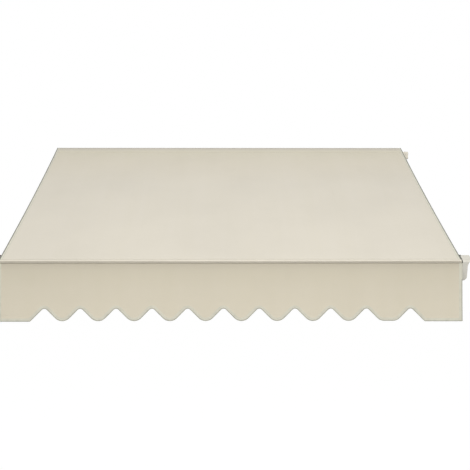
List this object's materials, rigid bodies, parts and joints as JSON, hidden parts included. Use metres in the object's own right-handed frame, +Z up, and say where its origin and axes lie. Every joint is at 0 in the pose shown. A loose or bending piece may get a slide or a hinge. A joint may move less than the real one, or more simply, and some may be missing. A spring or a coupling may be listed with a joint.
{
  "type": "folding arm awning",
  "caption": "Retractable patio awning: a cream cloth canopy on a roller and spring arms, with a scalloped valance and a pale frame.",
  "frame": {"origin": "on the wall plane, midway along the awning, level with the square bar's axis", "axes": "+X along the wall to the right as seen from the garden, +Y into the wall, +Z up; the cloth reaches out towards -Y"},
  "size_m": [2, 1.482, 0.8089],
  "materials": {
    "painted_frame": "powder coat, satin",
    "zinc_steel": "zinc plated",
    "plastic": "moulded, fine grain",
    "cable_cover": "extruded cover",
    "cloth": "coated plain weave"
  },
  "bodies": {
    "wall_frame": {"wall_bar": "painted_frame", "bar_cap_left": "plastic", "bar_cap_right": "plastic", "wall_bracket_left": "painted_frame", "wall_bracket_right": "painted_frame", "clamp_strap_left": "painted_frame", "clamp_strap_right": "painted_frame", "clamp_bolt_left": "zinc_steel", "clamp_bolt_right": "zinc_steel", "roller_bracket_left": "painted_frame", "roller_bracket_right": "painted_frame", "roller_bush": "plastic", "gearbox_base": "painted_frame", "gearbox_cover": "painted_frame", "arm_base_left": "painted_frame", "arm_base_right": "painted_frame"},
    "left_yoke": {"arm_yoke_left": "painted_frame", "tilt_pin_left": "zinc_steel", "lock_bolt_left": "zinc_steel", "shoulder_pin_left": "zinc_steel", "canopy": "cloth"},
    "right_yoke": {"arm_yoke_right": "painted_frame", "tilt_pin_right": "zinc_steel", "lock_bolt_right": "zinc_steel", "shoulder_pin_right": "zinc_steel"},
    "front_bar": {"front_bar": "painted_frame", "front_cap_left": "plastic", "front_cap_right": "plastic", "front_bracket_left": "painted_frame", "front_bracket_right": "painted_frame", "wrist_pin_left": "zinc_steel", "wrist_pin_right": "zinc_steel"},
    "valance": {"valance": "cloth"},
    "roller": {"roller_tube": "zinc_steel", "roller_plug_left": "plastic", "roller_plug_right": "plastic", "worm_wheel": "zinc_steel", "cloth_roll": "cloth"},
    "crank": {"worm_shaft": "zinc_steel"},
    "left_upper_arm": {"shoulder_knuckle_left": "painted_frame", "upper_arm_left": "painted_frame", "elbow_fork_left": "painted_frame", "elbow_pin_left": "zinc_steel", "arm_spring_left": "zinc_steel", "arm_cable_left": "cable_cover"},
    "left_forearm": {"elbow_tongue_left": "painted_frame", "forearm_left": "painted_frame", "wrist_knuckle_left": "painted_frame"},
    "right_upper_arm": {"shoulder_knuckle_right": "painted_frame", "upper_arm_right": "painted_frame", "elbow_fork_right": "painted_frame", "elbow_pin_right": "zinc_steel", "arm_spring_right": "zinc_steel", "arm_cable_right": "cable_cover"},
    "right_forearm": {"elbow_tongue_right": "painted_frame", "forearm_right": "painted_frame", "wrist_knuckle_right": "painted_frame"}
  },
  "joints": [
    {"name": "left_shoulder", "type": "hinge", "parent": "left_yoke", "child": "left_upper_arm", "pos_m": [-0.8005, -0.15686, -0.02978], "axis": [0, -0.342, 0.9397], "range_deg": [0, 72], "deforming": ["canopy", "arm_spring_left", "arm_cable_left"]},
    {"name": "left_elbow", "type": "hinge", "parent": "left_upper_arm", "child": "left_forearm", "pos_m": [-0.61388, -0.76843, -0.25238], "axis": [0, -0.342, 0.9397], "range_deg": [-144, 0]},
    {"name": "left_wrist", "type": "hinge", "parent": "left_forearm", "child": "front_bar", "pos_m": [-0.8005, -1.38, -0.47497], "axis": [0, -0.342, 0.9397], "range_deg": [0, 72]},
    {"name": "right_shoulder", "type": "hinge", "parent": "right_yoke", "child": "right_upper_arm", "pos_m": [0.8005, -0.15686, -0.02978], "axis": [0, -0.342, 0.9397], "range_deg": [-72, 0], "deforming": ["arm_spring_right", "arm_cable_right"]},
    {"name": "right_elbow", "type": "hinge", "parent": "right_upper_arm", "child": "right_forearm", "pos_m": [0.61388, -0.76843, -0.25238], "axis": [0, -0.342, 0.9397], "range_deg": [0, 144]},
    {"name": "left_tilt", "type": "hinge", "parent": "wall_frame", "child": "left_yoke", "pos_m": [-0.8005, -0.108, -0.012], "axis": [1, 0, 0], "range_deg": [-10, 15], "deforming": ["canopy"]},
    {"name": "right_tilt", "type": "hinge", "parent": "wall_frame", "child": "right_yoke", "pos_m": [0.8005, -0.108, -0.012], "axis": [1, 0, 0], "range_deg": [-10, 15]},
    {"name": "valance_hang", "type": "hinge", "parent": "front_bar", "child": "valance", "pos_m": [0, -1.4759, -0.43437], "axis": [1, 0, 0], "range_deg": [-15, 10]},
    {"name": "roller_turn", "type": "hinge", "parent": "wall_frame", "child": "roller", "pos_m": [0, -0.125, 0.088], "axis": [1, 0, 0], "range_deg": [-1800, 0]},
    {"name": "crank_turn", "type": "hinge", "parent": "wall_frame", "child": "crank", "pos_m": [0.9803, -0.1465, 0.088], "axis": [0, 0, 1], "range_deg": [-16200, 0]}
  ],
  "couplings": [
    {"joint": "left_elbow", "follows": "left_shoulder", "ratio": -2},
    {"joint": "left_wrist", "follows": "left_shoulder", "ratio": 1},
    {"joint": "right_shoulder", "follows": "left_shoulder", "ratio": -1},
    {"joint": "right_elbow", "follows": "left_shoulder", "ratio": 2},
    {"joint": "roller_turn", "follows": "left_shoulder", "ratio": -25},
    {"joint": "crank_turn", "follows": "left_shoulder", "ratio": -225},
    {"joint": "right_tilt", "follows": "left_tilt", "ratio": 1},
    {"joint": "valance_hang", "follows": "left_tilt", "ratio": -1}
  ]
}
